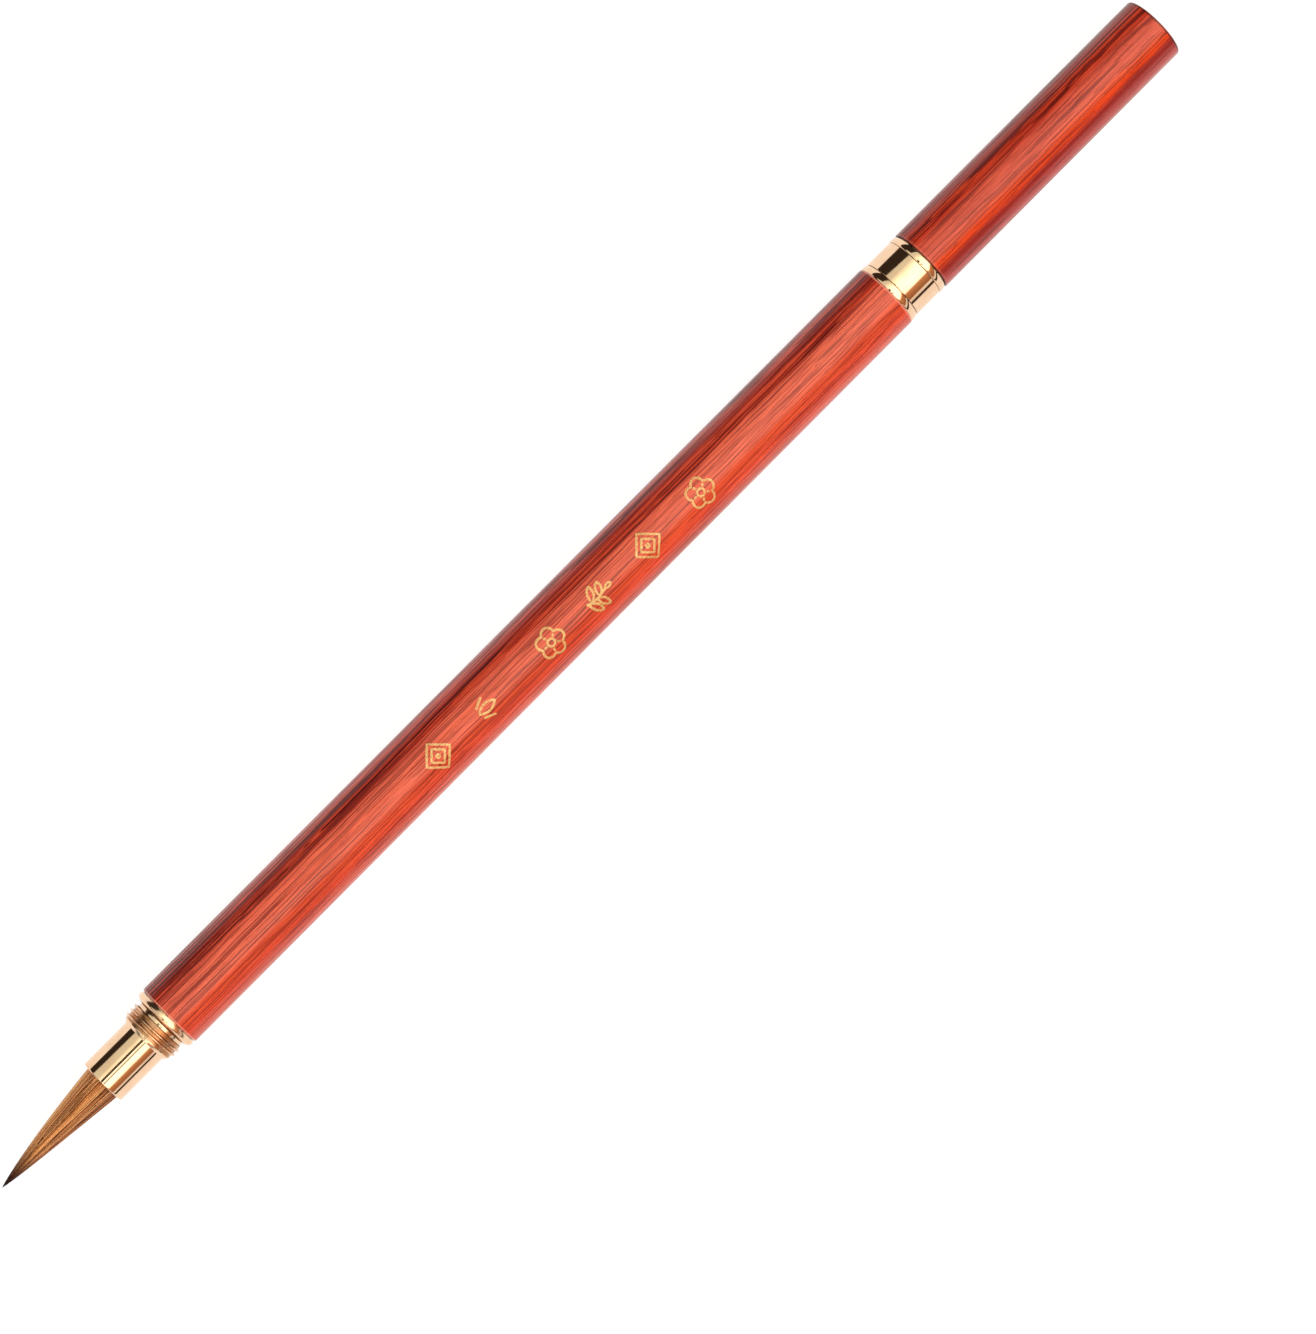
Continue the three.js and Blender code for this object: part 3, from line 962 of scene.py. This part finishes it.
# Light round the brush, by the angle from straight up, in degrees, positive towards +Y.
STUDIO = [
    (-90.5, (0.05, 0.03, 0.02)),
    (-80, (0.05, 0.03, 0.02)),
    (-78.5, (1.0, 0.97, 0.92)),
    (-71, (1.0, 0.92, 0.85)),
    (-68.5, (0.34, 0.15, 0.06)),
    (-44, (0.66, 0.32, 0.15)),
    (-38, (2.3, 2.15, 1.8)),
    (-20, (2.6, 2.5, 2.1)),
    (0, (2.1, 2.1, 1.8)),
    (14, (1.5, 1.5, 1.2)),
    (26, (0.86, 0.89, 0.76)),
    (52, (0.78, 0.82, 0.68)),
    (91, (0.95, 0.95, 0.95)),
]
DARK = (0.035, 0.025, 0.018, 1)
WHITE = (1, 1, 1, 1)

# The dark side's edge: its angle straight across the brush, how fast it moves as the light's way
# leans along the brush, and the most that it leans.
DARK_EDGE_ANGLE = 50.5
DARK_EDGE_SLANT = -60.0
DARK_EDGE_LEAN = 0.2

# Dark strips over the brush's middle: the middle and half of the width in degrees, and the depth.
STRIPS = ((4.5, 5.5, 0.98), (-10.5, 3.0, 0.85))


def make_studio():
    """Soft light from a band of panels over the brush, a dark side and a warm side, on white.

    The camera itself sees plain white in place of all this.
    """
    world = bpy.data.worlds.new("studio")
    bpy.context.scene.world = world
    world.use_nodes = True
    tree = world.node_tree
    background = tree.nodes["Background"]
    way = add(tree, "ShaderNodeTexCoord").outputs["Generated"]
    parts = add(tree, "ShaderNodeSeparateXYZ", {0: way})
    angle = maths(tree, "ARCTAN2", parts.outputs["Y"], parts.outputs["Z"])
    degrees = maths(tree, "MULTIPLY", angle, 180 / math.pi)
    share = maths(tree, "ADD", maths(tree, "DIVIDE", degrees, 360.0), 0.5)
    ramp = add(tree, "ShaderNodeValToRGB", {"Fac": share})
    stops = ramp.color_ramp.elements
    while len(stops) < len(STUDIO):
        stops.new(0.5)
    for stop, (place, colour) in zip(stops, STUDIO):
        stop.position = 0.5 + place / 360
        stop.color = (*colour, 1)

    limits = {"Value": parts.outputs["X"], "Min": -DARK_EDGE_LEAN, "Max": DARK_EDGE_LEAN}
    lean = add(tree, "ShaderNodeClamp", limits).outputs[0]
    edge = maths(tree, "MULTIPLY_ADD", lean, DARK_EDGE_SLANT, DARK_EDGE_ANGLE)
    past = between(tree, maths(tree, "SUBTRACT", degrees, edge), -1.0, 1.0)
    dark = maths(tree, "MULTIPLY", past, between(tree, degrees, 89.5, 87.5))
    light = mixed(tree, dark, ramp.outputs["Color"], DARK)
    near_tip = between(tree, parts.outputs["X"], 0.06, 0.03)
    for middle, half, depth in STRIPS:
        off = maths(tree, "ABSOLUTE", maths(tree, "SUBTRACT", degrees, middle))
        strip = maths(tree, "MULTIPLY", between(tree, off, half + 0.6, half - 0.6), near_tip)
        light = mixed(tree, maths(tree, "MULTIPLY", strip, depth), light, DARK)
    seen = add(tree, "ShaderNodeLightPath").outputs["Is Camera Ray"]
    light = mixed(tree, seen, light, WHITE)
    link(tree, light, background, "Color")

    bm = bmesh.new()
    bmesh.ops.create_grid(bm, x_segments=2, y_segments=2, size=3.0)
    white, tree, shader = new_material("floor_white")
    mottle = cloud(tree, stretched(tree, 20 * MM, 20 * MM))
    grey = mixed(tree, mottle, (0.15, 0.15, 0.15, 1), (0.16, 0.16, 0.16, 1))
    link(tree, grey, shader, "Base Color")
    shader.inputs["Roughness"].default_value = 0.9
    shader.inputs["Specular IOR Level"].default_value = 0.0
    shader.inputs["Emission Color"].default_value = (0.91, 0.91, 0.91, 1)
    shader.inputs["Emission Strength"].default_value = 1.0
    finish_mesh("floor", bm, white, None)


def make_camera():
    """A long lens above the brush, turned so that the brush runs up to the right."""
    distance = 635 * MM
    lean = math.radians(4.1)
    roll = math.radians(45.19)
    target = Vector((0.6 * MM, -12.37 * MM, AXIS_Z))
    back = Vector((-math.sin(lean), 0, math.cos(lean)))
    along = Vector((math.cos(lean), 0, math.sin(lean)))
    aside = Vector((0, 1, 0))
    right = along * math.cos(roll) - aside * math.sin(roll)
    up = along * math.sin(roll) + aside * math.cos(roll)
    data = bpy.data.cameras.new("camera")
    data.lens = 139
    data.sensor_width = 36
    camera = bpy.data.objects.new("camera", data)
    bpy.context.scene.collection.objects.link(camera)
    turn = Matrix((right, up, back)).transposed().to_4x4()
    camera.matrix_world = Matrix.Translation(target + back * distance) @ turn
    bpy.context.scene.camera = camera


# ---------------------------------------------------------------- the whole

make_camera()
make_studio()
bpy.context.scene.view_settings.view_transform = "Standard"

# Painted shade: the dark seams where the wood meets the gilt, and the dark rim round the cap's rounded end.
PAINTED_EDGE_SHADE = tone(50, 8, 5)
# Painted highlight: the pale rims on the wood's eased edges next to the gilt.
PAINTED_RIM_HIGHLIGHT = tone(244, 164, 146)
# The barrel's bands across its width: painted sheen in the pinker middle, painted rim reflection at the pink
# edges, painted shade in the dark band towards +Y.
BARREL_PAINTED_LIGHT_BANDS = [
    (-4.2, tone(226, 88, 62)), (-3.2, tone(228, 74, 42)), (-1.9, tone(220, 80, 50)),
    (-0.8, tone(230, 98, 72)), (1.2, tone(230, 98, 72)), (1.9, tone(198, 64, 42)),
    (2.6, tone(216, 80, 56)), (3.1, tone(162, 38, 22)), (3.7, tone(230, 90, 70)),
    (4.3, tone(220, 92, 78)),
]
# The cap's bands: painted sheen in the pinker middle and at the edges, and darker bands that are partly
# painted shade and partly grain.
CAP_GRAIN_AND_PAINTED_LIGHT_BANDS = [
    (-4.1, tone(196, 62, 52)), (-3.2, tone(150, 30, 22)), (-2.75, tone(142, 24, 14)),
    (-2.35, tone(226, 66, 24)), (-1.3, tone(234, 78, 30)), (-0.8, tone(214, 80, 56)),
    (0.9, tone(212, 80, 58)), (2.0, tone(196, 58, 36)), (2.8, tone(212, 66, 34)),
    (3.7, tone(168, 56, 46)),
]
barrel_wood = wood_material("red_wood_barrel", 0.0, BARREL_PAINTED_LIGHT_BANDS, 0.3 * MM, 1.0, [
    (BARREL_FRONT, 0.12 * MM, 0.9, PAINTED_EDGE_SHADE),
    (BARREL_FRONT + 0.22 * MM, 0.12 * MM, 0.5, PAINTED_RIM_HIGHLIGHT),
    (BARREL_REAR - 0.12 * MM, 0.16 * MM, 0.5, PAINTED_RIM_HIGHLIGHT),
])
cap_wood = wood_material("red_wood_cap", 0.031, CAP_GRAIN_AND_PAINTED_LIGHT_BANDS, 0.5 * MM, 0.7, [
    (CAP_FRONT, 0.26 * MM, 0.9, PAINTED_EDGE_SHADE),
    (CAP_FRONT + 0.34 * MM, 0.12 * MM, 0.15, PAINTED_RIM_HIGHLIGHT),
    (CAP_END - 0.2 * MM, 0.16 * MM, 0.75, PAINTED_EDGE_SHADE),
])
gilt = gilt_material("gilt_polished", 0.07, 0.004 * MM)
thread_gilt = gilt_material("gilt_thread", 0.16, 0.01 * MM)
make_barrel(barrel_wood)
make_cap_tube(cap_wood)
make_front_fitting(thread_gilt)
make_rear_fitting(gilt)
make_ferrule(gilt)
make_cap_collar(gilt)
make_cap_liner(
    plain_material("liner_plastic", tone(232, 228, 216), tone(222, 216, 202), 0.8 * MM, 0.4))
make_ornaments(gold_fill_material())

cover = hair_material("cover_hair", tone(252, 188, 128), tone(190, 116, 62), tone(86, 42, 16))
core = hair_material("core_hair", tone(160, 92, 44), tone(116, 62, 28), tone(68, 32, 14))
make_strands("cover_strands", 900, (0.86, 1.0), (0.02, 0.42), 0.125 * MM, 11, cover, "cover_hair")
make_strands("core_strands", 260, (0.35, 0.9), (0.0, 0.06), 0.1 * MM, 12, core, None)
make_hair_heart(core)

inner = {
    "hair_root": cover,
    "root_binding": plain_material(
        "twine", tone(222, 212, 190), tone(188, 174, 148), 0.1 * MM, 0.9),
    "root_plug": plain_material("resin", tone(120, 74, 30), tone(92, 52, 20), 0.5 * MM, 0.25),
}
for name, material in inner.items():
    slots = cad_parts[name].data.materials
    slots.clear()
    slots.append(material)
